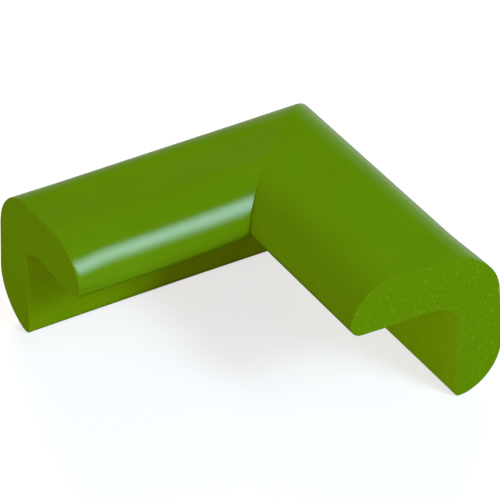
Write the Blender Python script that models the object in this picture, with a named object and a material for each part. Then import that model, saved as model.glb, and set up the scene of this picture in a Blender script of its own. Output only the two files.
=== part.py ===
"""Furniture corner protector: a soft foam guard for the corner of a table top or shelf.

One foam piece with two equal arms at a right angle, joined in a mitre. Arm A runs along -X
and arm B along -Y. The origin is the point that the furniture's corner touches: the table
top's upper face lies in z = 0 and its two edge faces lie in y = 0 and x = 0.

Both arms share one section, drawn in (out, up) coordinates: "out" points away from the
furniture's edge and "up" away from its upper face. The section is symmetric about its
diagonal, so it is drawn once from the side lip to the diagonal and mirrored for the top lip.
"""

import math

import bmesh
import bpy

# Driving sizes, in metres
ARM_LENGTH = 0.066       # from the furniture's corner to the cut end of each arm
CONTACT_DEPTH = 0.025    # reach of each lip over the furniture, from the inner corner
SIDE_WALL = 0.012        # thickest foam beside a contact face
CORNER_WALL = 0.0111     # foam above the inner corner, square to a contact face
CORNER_RADIUS = 0.0142   # outer round over the furniture's edge
LIP_RADIUS = 0.0112      # outer round of each lip, running down to its tip
TIP_RADIUS = 0.0027      # small round between a lip's back and its contact face

# Crease along the mitre, in metres
CREASE_WIDTH = 0.0006
CREASE_DEPTH = 0.0003

# Number of straight steps that each round of the section is drawn with
TIP_STEPS = 9
LIP_STEPS = 21
CORNER_STEPS = 13

# Finish of the foam's smooth skin
FOAM_GREEN = (0.107, 0.246, 0.001, 1.0)
FOAM_ROUGHNESS = 0.42
SMOOTH_ANGLE = math.radians(30)


def arc(centre, radius, start, end, steps):
    """Points on a circle from one angle to another, each with its outward direction."""
    points = []
    for step in range(steps + 1):
        angle = start + (end - start) * step / steps
        direction = (math.cos(angle), math.sin(angle))
        point = (centre[0] + radius * direction[0], centre[1] + radius * direction[1])
        points.append((point, direction))
    return points


def half_skin():
    """Outer skin of the side lip, from its contact face to the section's diagonal."""
    corner = (CORNER_WALL - CORNER_RADIUS, CORNER_WALL - CORNER_RADIUS)
    tip = (TIP_RADIUS, TIP_RADIUS - CONTACT_DEPTH)

    # The tip's round touches the contact face and sits inside the lip's larger round
    lip_out = SIDE_WALL - LIP_RADIUS
    lip_rise = math.sqrt((LIP_RADIUS - TIP_RADIUS) ** 2 - (TIP_RADIUS - lip_out) ** 2)
    lip = (lip_out, tip[1] + lip_rise)
    tip_end = math.atan2(tip[1] - lip[1], tip[0] - lip[0])

    # A straight back touches the lip's round and the corner's round at the same angle
    between = (corner[0] - lip[0], corner[1] - lip[1])
    turn = math.acos((LIP_RADIUS - CORNER_RADIUS) / math.hypot(*between))
    back = math.atan2(between[1], between[0]) - turn

    skin = arc(tip, TIP_RADIUS, -math.pi, tip_end, TIP_STEPS)
    skin += arc(lip, LIP_RADIUS, tip_end, back, LIP_STEPS)[1:]
    skin += arc(corner, CORNER_RADIUS, back, math.pi / 4, CORNER_STEPS)
    return skin


def whole_skin():
    """Skin of both lips, from the side contact face round to the top one."""
    half = half_skin()
    mirrored = [((point[1], point[0]), (turn[1], turn[0])) for point, turn in reversed(half)]
    return half + mirrored[1:]


def section_and_crease():
    """The closed section, and the same loop sunk by the crease's depth along its skin."""
    skin = whole_skin()
    section = [point for point, direction in skin]
    crease = [(point[0] - CREASE_DEPTH * direction[0], point[1] - CREASE_DEPTH * direction[1])
              for point, direction in skin]

    # The crease fades out where the skin meets the contact faces, which stay flat
    crease[0] = section[0]
    crease[-1] = section[-1]

    inner_corner = (0.0, 0.0)
    return section + [inner_corner], crease + [inner_corner]


def bridge(mesh, first, second):
    """Faces between two rings that have the same number of corners."""
    count = len(first)
    for index in range(count):
        following = (index + 1) % count
        mesh.faces.new((first[index], first[following], second[following], second[index]))


def protector_mesh():
    """Both arms and their mitre, as one closed surface."""
    section, crease = section_and_crease()
    shoulder = CREASE_WIDTH / math.sqrt(2)

    # Rings along arm A, through the mitre where the two arms share x = y, and along arm B
    places = [
        [(-ARM_LENGTH, out, up) for out, up in section],
        [(out - shoulder, out, up) for out, up in section],
        [(out, out, up) for out, up in crease],
        [(out, out - shoulder, up) for out, up in section],
        [(out, -ARM_LENGTH, up) for out, up in section],
    ]

    builder = bmesh.new()
    rings = [[builder.verts.new(place) for place in ring] for ring in places]
    for first, second in zip(rings, rings[1:]):
        bridge(builder, first, second)
    builder.faces.new(rings[0])
    builder.faces.new(rings[-1])
    bmesh.ops.recalc_face_normals(builder, faces=builder.faces)

    mesh = bpy.data.meshes.new("corner_protector")
    builder.to_mesh(mesh)
    builder.free()
    return mesh


def foam_material():
    """Green foam with a smooth satin skin."""
    material = bpy.data.materials.new("green_foam")
    material.use_nodes = True
    shader = material.node_tree.nodes["Principled BSDF"]
    shader.inputs["Base Color"].default_value = FOAM_GREEN
    shader.inputs["Roughness"].default_value = FOAM_ROUGHNESS
    shader.inputs["Metallic"].default_value = 0.0
    return material


def clear_scene():
    for item in list(bpy.data.objects):
        bpy.data.objects.remove(item, do_unlink=True)


def main():
    clear_scene()
    mesh = protector_mesh()
    mesh.shade_smooth()
    mesh.set_sharp_from_angle(angle=SMOOTH_ANGLE)
    mesh.materials.append(foam_material())
    protector = bpy.data.objects.new("corner_protector", mesh)
    bpy.context.scene.collection.objects.link(protector)


main()
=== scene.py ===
"""Looks of the furniture corner protector: green foam with a satin skin and knife-cut ends."""

import math

import bmesh
import bpy
import numpy as np
from mathutils import Matrix, Vector, geometry, kdtree, noise


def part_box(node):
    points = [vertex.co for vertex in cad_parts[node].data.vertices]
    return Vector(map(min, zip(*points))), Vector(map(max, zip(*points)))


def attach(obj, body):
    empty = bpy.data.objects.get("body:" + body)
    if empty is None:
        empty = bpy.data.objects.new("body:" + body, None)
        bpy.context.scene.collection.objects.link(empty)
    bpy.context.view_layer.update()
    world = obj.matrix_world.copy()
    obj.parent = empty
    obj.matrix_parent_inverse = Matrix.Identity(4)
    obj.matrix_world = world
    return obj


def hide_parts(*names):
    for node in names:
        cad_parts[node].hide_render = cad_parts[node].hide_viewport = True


NODE = "corner_protector"
MM = 0.001

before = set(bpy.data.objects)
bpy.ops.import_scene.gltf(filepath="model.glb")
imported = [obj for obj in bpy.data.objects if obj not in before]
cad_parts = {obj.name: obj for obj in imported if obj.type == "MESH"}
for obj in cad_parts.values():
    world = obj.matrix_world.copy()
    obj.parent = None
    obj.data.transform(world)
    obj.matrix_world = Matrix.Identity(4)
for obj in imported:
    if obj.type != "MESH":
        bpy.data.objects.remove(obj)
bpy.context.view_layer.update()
low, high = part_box(NODE)

# Sizes read from the frame: each arm runs from the origin to its cut end along -X or -Y
ARM_LENGTH = -low.x
CONTACT_DEPTH = round(-low.z, 4)
SIDE_WALL = round(high.x, 4)

# Rounds of the section, as on the solid
CORNER_WALL = 11.1 * MM
CORNER_RADIUS = 14.2 * MM
LIP_RADIUS = 11.2 * MM
TIP_RADIUS = 2.7 * MM

# Soft fillet that fills the notch's inner corner: its reach along the top lip and down the side
NOTCH_FILL = np.array([8.0, 4.2]) * MM
NOTCH_STEPS = 14

# Crease of the mitre: open at the lips' tips, closed over their backs and the outer corner
CREASE_DEPTH = 0.17 * MM
CREASE_WIDTH = 0.15 * MM   # from the crease's bottom to its shoulder, square to the mitre
CREASE_SHARPNESS = 1.6     # power that narrows its bottom
CREASE_FAINTEST = 0.1      # share of the depth that is left on the outer corner
CREASE_CLOSES = (-17 * MM, -7 * MM)   # out plus up, between which it closes

# The mitre's outer corner is slightly round, from this far on both sides of the mitre
MITRE_WIDTH = 1.0 * MM
MITRE_ROUND = 0.28 * MM    # how far its edge stands back

# Cut ends: the knife leaves a slightly rounded edge and opens the foam's cells
CUT_ROUND = 0.1 * MM
CUT_SPACING = 0.175 * MM
CUT_JITTER = 0.18          # share of the spacing by which the face's points stray
CUT_MARGIN = 0.6           # share of the spacing that they keep from the edge
CUT_SEEDS = (5, 6)         # for arm A's cut and for arm B's
CELL_SPACING = 0.5 * MM
CELL_JITTER = 0.4
CELL_RADII = (0.12 * MM, 0.27 * MM)
CELL_DEPTH = 0.06 * MM
CELLS_KEPT = 0.6           # share of the cells that are open
DENSE_SKIN = 0.7 * MM      # the cells close up towards the skin

# Foam is never quite straight
DROOP_MITRE = 0.3 * MM     # how far the top lips hang at the mitre and at each cut end
DROOP_A = 0.95 * MM
DROOP_B = 0.5 * MM
SAG_A = 0.5 * MM           # and how much more arm A's lip hangs at the middle of its length
HANG_OUT = (5.5 * MM, -3.5 * MM)      # out, between which the hang grows to its most
HANG_UP = (-20 * MM, -5 * MM)         # and up, which keeps the side lips' tips where they are
HANG_EASES = (-14 * MM, -24 * MM)     # out, between which it falls off towards the lip's tip
HANG_LOST = 0.7                       # and by what share
THIN_A = 0.2 * MM          # how much lower the top is at arm A's cut end
LEAN_MITRE = -0.6 * MM     # how far the side lips' tips lean out at the mitre and the cut ends
LEAN_A = 0.65 * MM
LEAN_B = 0.05 * MM
HOLLOW_B = 0.5 * MM        # how much thinner arm B's side lip is at its cut end
CURL_A = 0.25 * MM         # arm A's top lip fills out below its back, close to its cut end
BULGE_A = 0.75 * MM        # and its outer wall stands out a little there
BULGE_B = 0.6 * MM         # as arm B's outer corner does at its own cut end
CURL_LENGTH = 14 * MM      # how far all three reach from the cut ends
CURL_FACES = (90, 190)     # in degrees, from straight out through up: the skin that curls,
BULGE_A_FACES = (0, 70)    # and the middle and half width of the skin that bulges
BULGE_B_FACES = (25, 42)
SQUARE_TOP_A = 0.35 * MM   # how far the inner round of arm A's top lip fills out to a corner
SQUARE_SIDE = 0.5 * MM     # and of both side lips at their cut ends
WAVE = 0.05 * MM           # the skin's slow waves
WAVE_LENGTH = 30.0 * MM
RIPPLE = 0.3               # and the ripples on them: their share of a wave's height,
RIPPLES = 3.3              # and how many there are to a wave

# Mesh density
SKIN_SPACING = 0.5 * MM
TIP_SPACING = 0.3 * MM
RING_SPACING = 1.0 * MM
CREASE_RINGS = 7
MITRE_RINGS = 6
CUT_RINGS = 4

# Camera, fitted to the object's outline in the 500 by 500 photograph
CAMERA_AZIMUTH = -29.213
CAMERA_ELEVATION = 34.780
CAMERA_ROLL = -1.336
CAMERA_TARGET = Vector((-26.699, -27.731, 0.0)) * MM
CAMERA_DISTANCE = 757.3 * MM
CAMERA_LENS = 257.9        # in millimetres, on a sensor 36 mm wide
SENSOR_WIDTH = 36.0


def ease(x, start, end):
    """0 at the start, 1 at the end, and smooth between them."""
    share = np.clip((x - start) / (end - start), 0.0, 1.0)
    return share * share * (3.0 - 2.0 * share)


# Section of both arms, in (out, up) coordinates

def arc(centre, radius, start, end, spacing):
    """Points on an arc and the directions that they face."""
    steps = max(2, math.ceil(abs(end - start) * radius / spacing))
    angles = np.linspace(start, end, steps + 1)
    facing = np.stack([np.cos(angles), np.sin(angles)], axis=1)
    return np.array(centre) + radius * facing, facing


def straight(start, end, facing, spacing):
    """Points between two ends, without the ends, and the direction that they face."""
    steps = max(2, math.ceil(math.dist(start, end) / spacing))
    share = np.arange(1, steps)[:, None] / steps
    points = np.array(start) * (1 - share) + np.array(end) * share
    return points, np.tile(np.array(facing, float), (len(points), 1))


def mirrored(run):
    """A run of points on the other side of the section's diagonal."""
    points, facing = run
    return points[::-1, ::-1], facing[::-1, ::-1]


def skin_runs():
    """Runs of the side lip's skin, from its contact face to the corner's round, and that round."""
    corner = np.full(2, CORNER_WALL - CORNER_RADIUS)
    tip = np.array([TIP_RADIUS, TIP_RADIUS - CONTACT_DEPTH])
    lip_out = SIDE_WALL - LIP_RADIUS
    lip_rise = math.sqrt((LIP_RADIUS - TIP_RADIUS) ** 2 - (TIP_RADIUS - lip_out) ** 2)
    lip = np.array([lip_out, tip[1] + lip_rise])
    tip_end = math.atan2(tip[1] - lip[1], tip[0] - lip[0])
    between = corner - lip
    turn = math.acos((LIP_RADIUS - CORNER_RADIUS) / math.hypot(*between))
    back = math.atan2(between[1], between[0]) - turn

    tip_run = arc(tip, TIP_RADIUS, -math.pi, tip_end, TIP_SPACING)
    points, facing = arc(lip, LIP_RADIUS, tip_end, back, SKIN_SPACING)
    lip_run = (points[1:], facing[1:])
    corner_run = arc(corner, CORNER_RADIUS, back, math.pi / 2 - back, SKIN_SPACING)
    back_run = straight(points[-1], corner_run[0][0], facing[-1], SKIN_SPACING)
    return [tip_run, lip_run, back_run], corner_run


def notch_run():
    """The fillet in the notch's inner corner, from under the top lip down to the side's wall."""
    turns = np.linspace(math.pi / 2, 0, NOTCH_STEPS + 1)
    turned = np.stack([np.cos(turns), np.sin(turns)], axis=1)
    facing = -turned / NOTCH_FILL
    return NOTCH_FILL * (turned - 1), facing / np.linalg.norm(facing, axis=1)[:, None]


def section():
    """The closed outline: its points, the directions they face, and how much skin each has.

    It starts where the side lip's tip meets its contact face, runs round the skin to the top
    lip's tip, and comes back along the two contact faces, which have none of the skin's waves.
    """
    half, corner_run = skin_runs()
    skin = half + [corner_run] + [mirrored(run) for run in reversed(half)]
    notch = notch_run()
    contact = [
        straight(skin[-1][0][-1], notch[0][0], (0, -1), RING_SPACING),
        notch,
        straight(notch[0][-1], skin[0][0][0], (-1, 0), RING_SPACING),
    ]

    tip_fade = ease(np.linspace(0, 1, len(half[0][0])), 0, 1)
    skin_count = sum(len(run[0]) for run in skin)
    skin_share = np.concatenate([
        tip_fade,
        np.ones(skin_count - 2 * len(tip_fade)),
        tip_fade[::-1],
        np.zeros(sum(len(run[0]) for run in contact)),
    ])
    outline = np.concatenate([run[0] for run in skin + contact])
    facing = np.concatenate([run[1] for run in skin + contact])
    return outline, facing, skin_share


# Swept skin of one arm, in (along, out, up) coordinates

def mitre_sink(distance, outline, facing, skin_share):
    """How far the crease and the rounded corner go in, at a distance from the mitre."""
    profile = (1.0 - ease(distance, 0.0, CREASE_WIDTH)) ** CREASE_SHARPNESS
    strength = 1.0 - (1.0 - CREASE_FAINTEST) * ease(outline.sum(axis=1), *CREASE_CLOSES)
    rounded = (1.0 - distance / MITRE_WIDTH) ** 2 * np.clip(facing[:, 0], 0, 1)
    return (CREASE_DEPTH * profile * strength + MITRE_ROUND * rounded) * skin_share


def hang(outline, most):
    """How far each point of the section hangs down, for a top lip that hangs this much."""
    out, up = outline[:, 0], outline[:, 1]
    lip = ease(out, *HANG_OUT) * ease(up, *HANG_UP)
    return most * lip * (1 - HANG_LOST * ease(out, *HANG_EASES))


def bulge(angle, middle, half_width):
    """1 for the skin that faces the middle angle, and falling to 0 on both sides."""
    turn = (angle - middle + 180) % 360 - 180
    return np.cos(math.pi / 2 * np.clip(turn / half_width, -1, 1)) ** 2


def curl(facing, along_y):
    """How far the skin stands out near a cut end, by the way it faces: arm A's top lip goes in
    on its back and out below it, and both arms go out on the outside."""
    angle = np.degrees(np.arctan2(facing[:, 1], facing[:, 0])) % 360
    if along_y:
        return BULGE_B * bulge(angle, *BULGE_B_FACES)
    first, last = CURL_FACES
    turn = np.clip((angle - first) / (last - first), 0, 1)
    return BULGE_A * bulge(angle, *BULGE_A_FACES) - CURL_A * np.sin(2 * math.pi * turn)


def square(outline, facing, skin_share, share, along_y):
    """How far the inner rounds of the lips' tips stand out, at a share of the arm's length."""
    turn = np.arctan2(facing[:, 1], facing[:, 0]) % (2 * math.pi)
    turn = np.clip(turn / (math.pi / 2) - 2, 0, 1)
    top = 0.0 if along_y else SQUARE_TOP_A * (1 - share ** 2)
    most = np.where(outline[:, 0] > 0, SQUARE_SIDE * (1 - share) ** 2, top)
    return most * np.sin(math.pi * turn) ** 2 * (skin_share > 0)


def wave(place):
    """How far the skin stands out at a place in the row frame, from the foam's unevenness."""
    place = Vector(place) / WAVE_LENGTH
    return WAVE * (noise.noise(place) + RIPPLE * noise.noise(RIPPLES * place))


def unevenness(outline, facing, share, along_y):
    """How far each point of the section is off, in (out, up), at a share of the arm's length."""
    droop, thin, lean = (DROOP_B, 0.0, LEAN_B) if along_y else (DROOP_A, THIN_A, LEAN_A)
    droop = droop + (DROOP_MITRE - droop) * share
    thin = thin * (1 - share)
    lean = lean + (LEAN_MITRE - lean) * share
    if not along_y:
        droop = droop + SAG_A * math.sin(math.pi * share)

    off = np.zeros_like(outline)
    off[:, 0] = lean * np.clip(-outline[:, 1] / CONTACT_DEPTH, 0, 1)
    if along_y:
        side_lip = np.clip(-facing[:, 0], 0, 1) ** 2 * (outline[:, 1] < 0)
        off[:, 0] += HOLLOW_B * (1 - share) * side_lip
    off[:, 1] = -thin * np.clip(outline[:, 1] / SIDE_WALL, 0, 1) - hang(outline, droop)
    return off


def stations():
    """Rings from the cut end to the mitre, each as (cut angle, share, distance to the mitre).

    The cut angle falls from 90 degrees on the cut face to 0 where the edge's rounding ends.
    The share then grows from 0 to 1 near the mitre, where the distance takes over.
    """
    steps = math.ceil((ARM_LENGTH - CONTACT_DEPTH / 2) / RING_SPACING)
    corner = np.linspace(MITRE_WIDTH, CREASE_WIDTH, MITRE_RINGS + 1)[1:]
    crease = np.linspace(CREASE_WIDTH, 0.0, CREASE_RINGS + 1)[1:]
    rings = [(math.pi / 2 * (1 - k / CUT_RINGS), 0.0, MITRE_WIDTH) for k in range(CUT_RINGS)]
    rings += [(0.0, k / steps, MITRE_WIDTH) for k in range(steps + 1)]
    rings += [(0.0, 1.0, distance) for distance in (*corner, *crease)]
    return rings


def to_row(places, along_y):
    """Arm coordinates as places in the row frame: arm A runs along X, arm B along Y."""
    return places[..., [1, 0, 2]] if along_y else places


def arm_rings(outline, facing, skin_share, along_y):
    """Places of each ring's points in the row frame, from the cut end to the mitre."""
    rings = []
    for cut_angle, share, distance in stations():
        start = -ARM_LENGTH + CUT_ROUND * (1 - math.sin(cut_angle))
        shoulder = math.sqrt(2) * distance

        even = np.column_stack([start + share * (outline[:, 0] - shoulder - start), outline])
        waves = np.array([wave(place) for place in to_row(even, along_y)])
        near_cut = ease(share * ARM_LENGTH, CURL_LENGTH, 0.0)
        sink = CUT_ROUND * (1 - math.cos(cut_angle))
        sink = sink + mitre_sink(distance, outline, facing, skin_share) - waves * skin_share
        sink = sink - square(outline, facing, skin_share, share, along_y)
        sink = sink - near_cut * curl(facing, along_y)

        sunk = outline - facing * sink[:, None]
        sunk = sunk + unevenness(outline, facing, share, along_y)
        ring = np.column_stack([start + share * (sunk[:, 0] - shoulder - start), sunk])
        rings.append(to_row(ring, along_y))
    return rings


# Cut face of one arm, in (out, up) coordinates

def depth_inside(points, outline):
    """Distance from each point to the outline, negative for a point outside it."""
    start = outline
    end = np.roll(outline, -1, axis=0)
    edge = end - start
    to_point = points[:, None] - start[None]
    share = np.clip((to_point * edge).sum(-1) / (edge ** 2).sum(-1), 0, 1)
    distance = np.hypot(*np.moveaxis(to_point - share[..., None] * edge, -1, 0)).min(axis=1)

    above = start[None, :, 1] > points[:, None, 1]
    crosses = above != (end[None, :, 1] > points[:, None, 1])
    with np.errstate(divide="ignore", invalid="ignore"):
        cross_out = start[:, 0] + to_point[..., 1] / edge[:, 1] * edge[:, 0]
    inside = (crosses & (points[:, None, 0] < cross_out)).sum(axis=1) % 2 == 1
    return np.where(inside, distance, -distance)


def lattice(outline, spacing, jitter, seed):
    """Points on a triangular lattice over the outline's box, each moved by a random share."""
    first, last = outline.min(axis=0), outline.max(axis=0)
    row_height = spacing * math.sqrt(3) / 2
    rows = np.arange(first[1], last[1], row_height)
    columns = np.arange(first[0], last[0], spacing)
    out, up = np.meshgrid(columns, rows)
    out = out + 0.5 * spacing * (np.arange(len(rows)) % 2)[:, None]
    points = np.stack([out.ravel(), up.ravel()], axis=1)
    return points + spacing * jitter * np.random.default_rng(seed).uniform(-1, 1, points.shape)


def cell_depths(points, inside, outline, seed):
    """How deep the foam's opened cells are at each point of a cut face."""
    centres = lattice(outline, CELL_SPACING, CELL_JITTER, seed)
    chance = np.random.default_rng(seed + 1)
    centres = centres[chance.random(len(centres)) < CELLS_KEPT]
    radii = chance.uniform(*CELL_RADII, len(centres))

    tree = kdtree.KDTree(len(centres))
    for index, (out, up) in enumerate(centres):
        tree.insert((out, up, 0.0), index)
    tree.balance()

    depths = np.zeros(len(points))
    for k, (out, up) in enumerate(points):
        _, index, distance = tree.find((out, up, 0.0))
        depths[k] = radii[index] * math.sqrt(max(0.0, 1.0 - (distance / radii[index]) ** 2))
    return CELL_DEPTH / CELL_RADII[1] * depths * ease(inside, 0.0, DENSE_SKIN)


def cut_face(outline, seed):
    """Inner points of a cut face, their cells' depths, and its triangles.

    A triangle's corners count the outline's own points first and then the inner points.
    """
    points = lattice(outline, CUT_SPACING, CUT_JITTER, seed)
    inside = depth_inside(points, outline)
    kept = inside > CUT_MARGIN * CUT_SPACING
    points, inside = points[kept], inside[kept]

    count = len(outline)
    flat = [Vector(point) / MM for point in np.concatenate([outline, points])]
    border = [(k, (k + 1) % count) for k in range(count)]

    # Only triangles inside the border are kept, and points within a nanometre would be joined
    _, _, found, sources, _, _ = geometry.delaunay_2d_cdt(flat, border, [], 1, 1e-6)
    origin = [source[0] for source in sources]
    triangles = [[origin[corner] for corner in triangle] for triangle in found]
    return points, cell_depths(points, inside, outline, seed + 10), triangles


# The whole guard

SKIN_SLOT, BARE_AND_BOUNCE_SLOT, CUT_A_SLOT, CUT_B_SLOT = range(4)


def sweep_faces(rings, count):
    """Faces between each ring and the next, where every ring has this many points."""
    faces = []
    for ring in range(rings - 1):
        here, there = ring * count, (ring + 1) * count
        for k in range(count):
            following = (k + 1) % count
            faces.append((here + k, here + following, there + following, there + k))
    return faces


def add_cut(places, faces, ring, start, along_y, seed):
    """Close an end ring, whose first point is the start, and say how many faces that takes."""
    count = len(ring)
    border = ring[:, [0, 2]] if along_y else ring[:, [1, 2]]
    points, depths, triangles = cut_face(border, seed)
    first_inner = len(places) - count
    inner = np.column_stack([-ARM_LENGTH + depths, points])
    places.extend(to_row(inner, along_y))
    for triangle in triangles:
        faces.append([start + k if k < count else first_inner + k for k in triangle])
    return len(triangles)


def skin_slots(skin_share, rings):
    """Material slots of the faces between the rings. Faces with under half skin, on the contact
    faces and the lips' tips, take the paler foam, which is partly painted bounce light. Arm B's
    rounded cut edge is cut foam too.
    """
    # faces with under half skin, on the contact faces and the lips' tips, take the paler foam that
    # is partly painted bounce light
    bare_and_bounce_faces = skin_share + np.roll(skin_share, -1) < 1.0
    slots = np.tile(np.where(bare_and_bounce_faces, BARE_AND_BOUNCE_SLOT, SKIN_SLOT), rings - 1)
    slots[-CUT_RINGS * len(bare_and_bounce_faces):] = CUT_B_SLOT
    return slots


def guard_mesh():
    """The guard as one closed mesh: both arms' rings, from cut to cut, and the two cut faces."""
    outline, facing, skin_share = section()
    arm_a = arm_rings(outline, facing, skin_share, along_y=False)
    arm_b = arm_rings(outline, facing, skin_share, along_y=True)
    rings = arm_a + arm_b[-2::-1]
    places = list(np.concatenate(rings))
    faces = sweep_faces(len(rings), len(outline))
    last_start = len(places) - len(outline)
    cut_a = add_cut(places, faces, rings[0], 0, False, CUT_SEEDS[0])
    cut_b = add_cut(places, faces, rings[-1], last_start, True, CUT_SEEDS[1])

    mesh = bpy.data.meshes.new("foam_guard")
    mesh.from_pydata(places, [], faces)
    builder = bmesh.new()
    builder.from_mesh(mesh)
    bmesh.ops.recalc_face_normals(builder, faces=builder.faces)
    builder.to_mesh(mesh)
    builder.free()
    mesh.shade_smooth()

    mesh.materials.append(skin_material())
    mesh.materials.append(bare_and_bounce_material())
    mesh.materials.append(cut_material("cut_foam", glints=False))
    # arm B's cut has pale specks of painted glint
    mesh.materials.append(cut_material("cut_foam_painted_glints", glints=True))
    slots = [*skin_slots(skin_share, len(rings)), *[CUT_A_SLOT] * cut_a, *[CUT_B_SLOT] * cut_b]
    mesh.polygons.foreach_set("material_index", np.array(slots, np.int32))
    return mesh


# Materials, with colours as linear red, green and blue

GREEN = (0.112, 0.245, 0.0012)
# The next colour is the bare foam's, made paler partly as painted bounce light on the notch walls
# and the lips' tips
BARE_AND_BOUNCE = (0.14, 0.285, 0.0014)
CUT = (0.1, 0.213, 0.0015)
# colour of the painted glints on arm B's cut
GLINT_SPECK = (0.163, 0.322, 0.01)

FOAM_IOR = 1.5
SKIN_ROUGHNESS = (0.15, 0.19)
BARE_ROUGHNESS = 0.6
CUT_ROUGHNESS = 0.7

# Patches of paler and darker foam: their size, and how far they go from the colour
SKIN_MOTTLE = (14 * MM, 0.03)
BARE_MOTTLE = (6 * MM, 0.04)

# Bumps too fine for the mesh: their size across and their depth
SKIN_DIMPLES = (3.5 * MM, 0.012 * MM)
SKIN_GRAIN = (0.3 * MM, 0.004 * MM)
BARE_GRAIN = (0.5 * MM, 0.03 * MM)
FINE_CELLS = (0.55 * MM, 0.03 * MM)

# Painted glints on arm B's cut: pale specks where broken cells catch the light, and the range of a
# random value in which they fade in
GLINT_SPACING = 1.0 * MM
GLINT_RADIUS = 0.22 * MM
GLINT_CHANCE = (0.3, 0.9)

# Nearly all values of a noise lie in this range
NOISE_RANGE = (0.3, 0.7)


def shade(colour, level):
    """A colour made lighter or darker, as red, green, blue and alpha."""
    return (*[channel * level for channel in colour], 1.0)


def new_material(name):
    """An empty node material: its nodes, its links, its shader and its place on the object."""
    material = bpy.data.materials.new(name)
    material.use_nodes = True
    nodes, links = material.node_tree.nodes, material.node_tree.links
    place = nodes.new("ShaderNodeTexCoord").outputs["Object"]
    return material, nodes, links, nodes["Principled BSDF"], place


def add_noise(nodes, links, place, size, detail):
    """Noise whose patches are about this size, in metres."""
    texture = nodes.new("ShaderNodeTexNoise")
    texture.inputs["Scale"].default_value = 1.0 / size
    texture.inputs["Detail"].default_value = detail
    links.new(place, texture.inputs["Vector"])
    return texture.outputs["Fac"]


def add_ramp(nodes, links, value, stops):
    """Colours along a value: each stop is a position and a colour."""
    ramp = nodes.new("ShaderNodeValToRGB")
    elements = ramp.color_ramp.elements
    while len(elements) < len(stops):
        elements.new(0.5)
    for element, (position, colour) in zip(elements, stops):
        element.position = position
        element.color = colour
    links.new(value, ramp.inputs["Fac"])
    return ramp.outputs["Color"]


def add_mottle(nodes, links, place, colour, size, spread):
    """A colour that is a little darker and lighter in patches of this size."""
    patches = add_noise(nodes, links, place, size, 3)
    levels = (1 - spread, 1 + spread)
    stops = [(at, shade(colour, level)) for at, level in zip(NOISE_RANGE, levels)]
    return add_ramp(nodes, links, patches, stops)


def add_range(nodes, links, value, source, target):
    """A value carried from one range to another."""
    node = nodes.new("ShaderNodeMapRange")
    node.inputs["From Min"].default_value, node.inputs["From Max"].default_value = source
    node.inputs["To Min"].default_value, node.inputs["To Max"].default_value = target
    links.new(value, node.inputs["Value"])
    return node.outputs["Result"]


def add_bump(nodes, links, height, depth, strength, before=None):
    """Bump of a real depth in metres, laid over the one before."""
    node = nodes.new("ShaderNodeBump")
    node.inputs["Distance"].default_value = depth
    node.inputs["Strength"].default_value = strength
    links.new(height, node.inputs["Height"])
    if before is not None:
        links.new(before, node.inputs["Normal"])
    return node.outputs["Normal"]


def skin_material():
    """The foam's own skin: satin, finely grained and slightly mottled."""
    material, nodes, links, shader, place = new_material("foam_skin")
    colour = add_mottle(nodes, links, place, GREEN, *SKIN_MOTTLE)
    links.new(colour, shader.inputs["Base Color"])

    dimple_size, dimple_depth = SKIN_DIMPLES
    grain_size, grain_depth = SKIN_GRAIN
    dimples = add_noise(nodes, links, place, dimple_size, 1)
    grain = add_noise(nodes, links, place, grain_size, 2)
    rough = add_range(nodes, links, dimples, NOISE_RANGE, SKIN_ROUGHNESS)
    links.new(rough, shader.inputs["Roughness"])
    normal = add_bump(nodes, links, dimples, dimple_depth, 1.0)
    normal = add_bump(nodes, links, grain, grain_depth, 1.0, normal)
    links.new(normal, shader.inputs["Normal"])
    shader.inputs["IOR"].default_value = FOAM_IOR
    return material


def bare_and_bounce_material():
    """The contact faces, which have no skin, and the lips' tips: matt foam, a little paler and
    warmer, partly as bare foam is and partly as painted bounce light from below.
    """
    material, nodes, links, shader, place = new_material("bare_foam_and_painted_bounce")
    colour = add_mottle(nodes, links, place, BARE_AND_BOUNCE, *BARE_MOTTLE)
    links.new(colour, shader.inputs["Base Color"])

    grain_size, grain_depth = BARE_GRAIN
    grain = add_noise(nodes, links, place, grain_size, 3)
    normal = add_bump(nodes, links, grain, grain_depth, 0.6)
    links.new(normal, shader.inputs["Normal"])
    shader.inputs["Roughness"].default_value = BARE_ROUGHNESS
    shader.inputs["IOR"].default_value = FOAM_IOR
    shader.inputs["Specular IOR Level"].default_value = 0.0
    return material


def add_painted_glints(nodes, links, place, colour):
    """A colour with a few pale specks painted in: painted glints where broken cells catch the
    light.
    """
    dots = nodes.new("ShaderNodeTexVoronoi")
    dots.inputs["Scale"].default_value = 1.0 / GLINT_SPACING
    links.new(place, dots.inputs["Vector"])
    radius = GLINT_RADIUS / GLINT_SPACING
    rim = (0.5 * radius, 1.5 * radius)
    near = add_range(nodes, links, dots.outputs["Distance"], rim, (1.0, 0.0))
    chance = add_range(nodes, links, dots.outputs["Color"], GLINT_CHANCE, (0.0, 1.0))
    share = nodes.new("ShaderNodeMath")
    share.operation = "MULTIPLY"
    links.new(near, share.inputs[0])
    links.new(chance, share.inputs[1])
    mixed = nodes.new("ShaderNodeMixRGB")
    mixed.inputs["Color2"].default_value = shade(GLINT_SPECK, 1.0)
    links.new(share.outputs["Value"], mixed.inputs["Fac"])
    links.new(colour, mixed.inputs["Color1"])
    return mixed.outputs["Color"]


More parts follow.
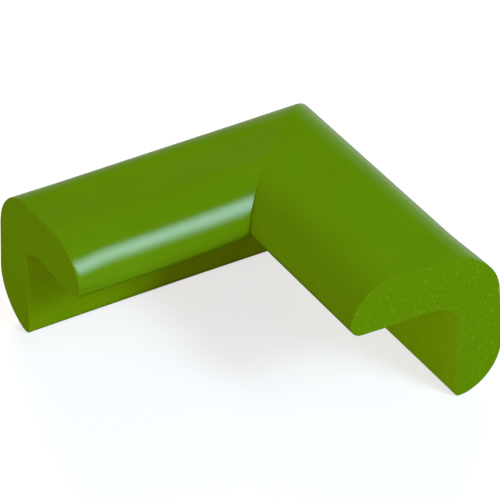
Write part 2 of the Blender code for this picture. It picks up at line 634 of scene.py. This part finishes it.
def cut_material(name, glints):
    """Cut foam: matt, with pale cell walls round small cells whose hollows are darkened with
    painted shade.
    """
    material, nodes, links, shader, place = new_material(name)
    cell_size, cell_depth = FINE_CELLS
    cells = nodes.new("ShaderNodeTexVoronoi")
    cells.feature = "DISTANCE_TO_EDGE"
    cells.inputs["Scale"].default_value = 1.0 / cell_size
    links.new(place, cells.inputs["Vector"])
    walls = cells.outputs["Distance"]
    # the colour falls from the cells' walls into their hollows, as the bump does: painted shade in
    # the hollows
    colour = add_ramp(nodes, links, walls, [
        (0.0, shade(CUT, 1.15)),
        (0.1, shade(CUT, 1.02)),
        (0.45, shade(CUT, 0.98)),
    ])
    # arm B's cut gets pale specks of painted glint
    if glints:
        colour = add_painted_glints(nodes, links, place, colour)
    links.new(colour, shader.inputs["Base Color"])

    height = add_range(nodes, links, walls, (0.0, 0.4), (1.0, 0.0))
    normal = add_bump(nodes, links, height, cell_depth, 0.5)
    links.new(normal, shader.inputs["Normal"])
    shader.inputs["Roughness"].default_value = CUT_ROUGHNESS
    shader.inputs["IOR"].default_value = FOAM_IOR
    shader.inputs["Specular IOR Level"].default_value = 0.0
    return material


def make_guard():
    """The soft guard, shown in place of the solid."""
    guard = bpy.data.objects.new("foam_guard", guard_mesh())
    bpy.context.scene.collection.objects.link(guard)
    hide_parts(NODE)
    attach(guard, "root")


# Studio: soft lamps all round, a pale floor and a white world

FLOOR_SIZE = 12.0
FLOOR_WHITE = 0.45
FLOOR_GLOW = 0.7           # what the floor shows on its own, which lights nothing
GLOW_COLOUR = (0.95, 0.965, 1.0, 1.0)
STUDIO_LEVEL = 0.15        # what the white world lends the object from all sides
LAMP_DISTANCE = 1.6

KEY_COLOUR = (0.6, 0.87, 1.0)
FILL_COLOUR = (1.0, 0.52, 0.4)
SIDE_COLOUR = (0.35, 1.0, 0.8)
BACK_COLOUR = (1.0, 0.85, 0.8)
SHEEN_COLOUR = (1.0, 1.0, 0.95)

# The key's mirror image on the skin is brightest in its middle: three sheets, one behind
# another, each with its height in degrees, its level, and how far behind the first it hangs
KEY_AZIMUTH = 29
KEY_ELEVATION = 38.0
KEY_WIDTH = 16
KEY_SHEETS = (("outer", 42, 2.9, 0.04), ("middle", 28, 3.4, 0.02), ("inner", 16, 2.9, 0.0))

# The other lamps have no mirror image: azimuth, elevation, width, height, level and colour
SOFT_LAMPS = (
    ("key_wide", 20, 36, 11, 9, 37.6, KEY_COLOUR),
    ("skirt", 32, 8, 11, 12, 16.0, KEY_COLOUR),
    ("fill", -58, 16, 28, 26, 10.2, FILL_COLOUR),
    ("side", -90, 6, 28, 12, 7.0, SIDE_COLOUR),
    ("back", 150, 25, 40, 24, 11.5, BACK_COLOUR),
)

# Two glowing sheets, which start at this x and put a sheen on the object's far edges
SHEEN_START = -60 * MM

# The one behind the object: its y, how far right it goes, and its level at each height
BACK_PLACE = 1.8
BACK_REACH = 2.2
BACK_LEVELS = ((0.0, 0.22), (0.317, 0.22), (0.416, 0.17), (0.655, 0.07), (0.878, 0.02), (1.04, 0.0))

# The one under the floor, outside both arms: its inner corner's x and y, how far it lies below
# the floor, and its level at each distance from the origin
LOW_CORNER = 15 * MM
LOW_DROP = 1 * MM
LOW_LEVELS = ((0.0, 0.42), (0.2, 0.42), (0.6, 0.3), (1.5, 0.2), (3.0, 0.0))


def direction(azimuth, elevation):
    """Unit vector towards a place seen at this azimuth and elevation, as for a camera."""
    turn, rise = math.radians(azimuth), math.radians(elevation)
    level = math.cos(rise)
    return Vector((math.sin(turn) * level, -math.cos(turn) * level, math.sin(rise)))


def make_lamp(name, azimuth, elevation, width, height, level, colour, glossy, behind=0.0):
    """A softbox aimed at the object. Its width and height are angles, in degrees, as the object
    sees them, and its level is how bright its face is. One that isn't glossy leaves no mirror
    image of itself on the skin."""
    distance = LAMP_DISTANCE + behind
    lamp = bpy.data.lights.new(name, "AREA")
    lamp.shape = "RECTANGLE"
    lamp.size = 2 * distance * math.tan(math.radians(width / 2))
    lamp.size_y = 2 * distance * math.tan(math.radians(height / 2))
    lamp.energy = level * math.pi * lamp.size * lamp.size_y
    lamp.color = colour
    lamp.cycles.use_multiple_importance_sampling = glossy
    holder = bpy.data.objects.new(name, lamp)
    towards = direction(azimuth, elevation)
    holder.location = CAMERA_TARGET + distance * towards
    holder.rotation_mode = "QUATERNION"
    holder.rotation_quaternion = (-towards).to_track_quat("-Z", "Y")
    holder.visible_camera = False
    holder.visible_glossy = glossy
    bpy.context.scene.collection.objects.link(holder)


def make_lamps():
    """The key's three sheets and the soft lamps."""
    for name, height, level, behind in KEY_SHEETS:
        make_lamp("key_" + name, KEY_AZIMUTH, KEY_ELEVATION, KEY_WIDTH, height, level, KEY_COLOUR,
                  glossy=True, behind=behind)
    for name, azimuth, elevation, width, height, level, colour in SOFT_LAMPS:
        make_lamp(name, azimuth, elevation, width, height, level, colour, glossy=False)


def make_world():
    """White all round for the camera, and a little even light. The skin doesn't mirror it."""
    world = bpy.data.worlds.new("studio")
    bpy.context.scene.world = world
    world.use_nodes = True
    nodes, links = world.node_tree.nodes, world.node_tree.links
    background = nodes["Background"]
    background.inputs["Color"].default_value = (1.0, 1.0, 1.0, 1.0)
    level = add_range(nodes, links, shown_rays(nodes, links), (0.0, 1.0), (STUDIO_LEVEL, 1.0))
    links.new(level, background.inputs["Strength"])
    world.cycles_visibility.glossy = False
    world.cycles.sampling_method = "NONE"


def shown_rays(nodes, links):
    """1 for the rays that show a background, from the camera or by way of a mirror or glass."""
    rays = nodes.new("ShaderNodeLightPath")
    shown = rays.outputs["Is Camera Ray"]
    for kind in ("Is Glossy Ray", "Is Transmission Ray"):
        either = nodes.new("ShaderNodeMath")
        either.operation = "MAXIMUM"
        links.new(shown, either.inputs[0])
        links.new(rays.outputs[kind], either.inputs[1])
        shown = either.outputs["Value"]
    return shown


def sheet_material(name, levels, upright):
    """A glow with these levels at heights, or at distances from the sheet's own origin."""
    material = bpy.data.materials.new(name)
    material.use_nodes = True
    material.cycles.emission_sampling = "NONE"
    nodes, links = material.node_tree.nodes, material.node_tree.links
    nodes.clear()
    place = nodes.new("ShaderNodeTexCoord").outputs["Object"]
    if upright:
        split = nodes.new("ShaderNodeSeparateXYZ")
        links.new(place, split.inputs["Vector"])
        reached = split.outputs["Z"]
    else:
        measure = nodes.new("ShaderNodeVectorMath")
        measure.operation = "LENGTH"
        links.new(place, measure.inputs[0])
        reached = measure.outputs["Value"]

    furthest = levels[-1][0]
    share = add_range(nodes, links, reached, (0.0, furthest), (0.0, 1.0))
    stops = [(at / furthest, shade(SHEEN_COLOUR, level)) for at, level in levels]
    glow = nodes.new("ShaderNodeEmission")
    links.new(add_ramp(nodes, links, share, stops), glow.inputs["Color"])
    links.new(glow.outputs["Emission"], nodes.new("ShaderNodeOutputMaterial").inputs["Surface"])
    return material


def make_sheet(name, corners, levels, upright):
    """A glowing sheet that only shows as a sheen along the object's far edges."""
    mesh = bpy.data.meshes.new(name)
    mesh.from_pydata(corners, [], [tuple(range(len(corners)))])
    mesh.materials.append(sheet_material(name, levels, upright))
    sheet = bpy.data.objects.new(name, mesh)
    sheet.visible_camera = False
    sheet.visible_diffuse = False
    sheet.visible_transmission = False
    sheet.visible_shadow = False
    bpy.context.scene.collection.objects.link(sheet)
    return sheet


def make_sheets():
    """One sheet lies under the floor, behind both arms, and the other stands further back."""
    near, far = LOW_CORNER, LOW_LEVELS[-1][0]
    corners = [(near, SHEEN_START), (far, SHEEN_START), (far, far)]
    corners += [(y, x) for x, y in corners[1::-1]] + [(near, near)]
    under = make_sheet("sheen_low", [(x, y, 0.0) for x, y in corners], LOW_LEVELS, upright=False)
    under.location.z = low.z - LOW_DROP

    top = BACK_LEVELS[-1][0]
    ends = [(SHEEN_START, 0.0), (BACK_REACH, 0.0), (BACK_REACH, top), (SHEEN_START, top)]
    corners = [(x, BACK_PLACE, z) for x, z in ends]
    make_sheet("sheen_back", corners, BACK_LEVELS, upright=True)


def make_floor():
    """A pale floor that looks nearly white to the camera and keeps the object's shadow."""
    mesh = bpy.data.meshes.new("floor")
    half = FLOOR_SIZE / 2
    corners = [(-half, -half, 0), (half, -half, 0), (half, half, 0), (-half, half, 0)]
    mesh.from_pydata(corners, [], [(0, 1, 2, 3)])
    floor = bpy.data.objects.new("floor", mesh)
    floor.location.z = low.z
    material = bpy.data.materials.new("pale_floor")
    material.use_nodes = True
    nodes, links = material.node_tree.nodes, material.node_tree.links
    shader = nodes["Principled BSDF"]
    shader.inputs["Base Color"].default_value = (FLOOR_WHITE, FLOOR_WHITE, FLOOR_WHITE, 1.0)
    shader.inputs["Roughness"].default_value = 1.0
    shader.inputs["Specular IOR Level"].default_value = 0.0

    glow = add_range(nodes, links, shown_rays(nodes, links), (0.0, 1.0), (0.0, FLOOR_GLOW))
    shader.inputs["Emission Color"].default_value = GLOW_COLOUR
    links.new(glow, shader.inputs["Emission Strength"])
    mesh.materials.append(material)
    bpy.context.scene.collection.objects.link(floor)
    floor.visible_glossy = False


def make_camera():
    """The photograph's view of the object."""
    camera = bpy.data.cameras.new("camera")
    camera.lens = CAMERA_LENS
    camera.sensor_width = SENSOR_WIDTH
    holder = bpy.data.objects.new("camera", camera)
    towards = direction(CAMERA_AZIMUTH, CAMERA_ELEVATION)
    level = (-towards).to_track_quat("-Z", "Y").to_matrix()
    turn = level @ Matrix.Rotation(math.radians(CAMERA_ROLL), 3, "Z")
    holder.matrix_world = Matrix.LocRotScale(CAMERA_TARGET + CAMERA_DISTANCE * towards, turn, None)
    bpy.context.scene.collection.objects.link(holder)
    bpy.context.scene.camera = holder


make_camera()
make_guard()
make_world()
make_lamps()
make_floor()
make_sheets()
bpy.context.scene.view_settings.view_transform = "Standard"
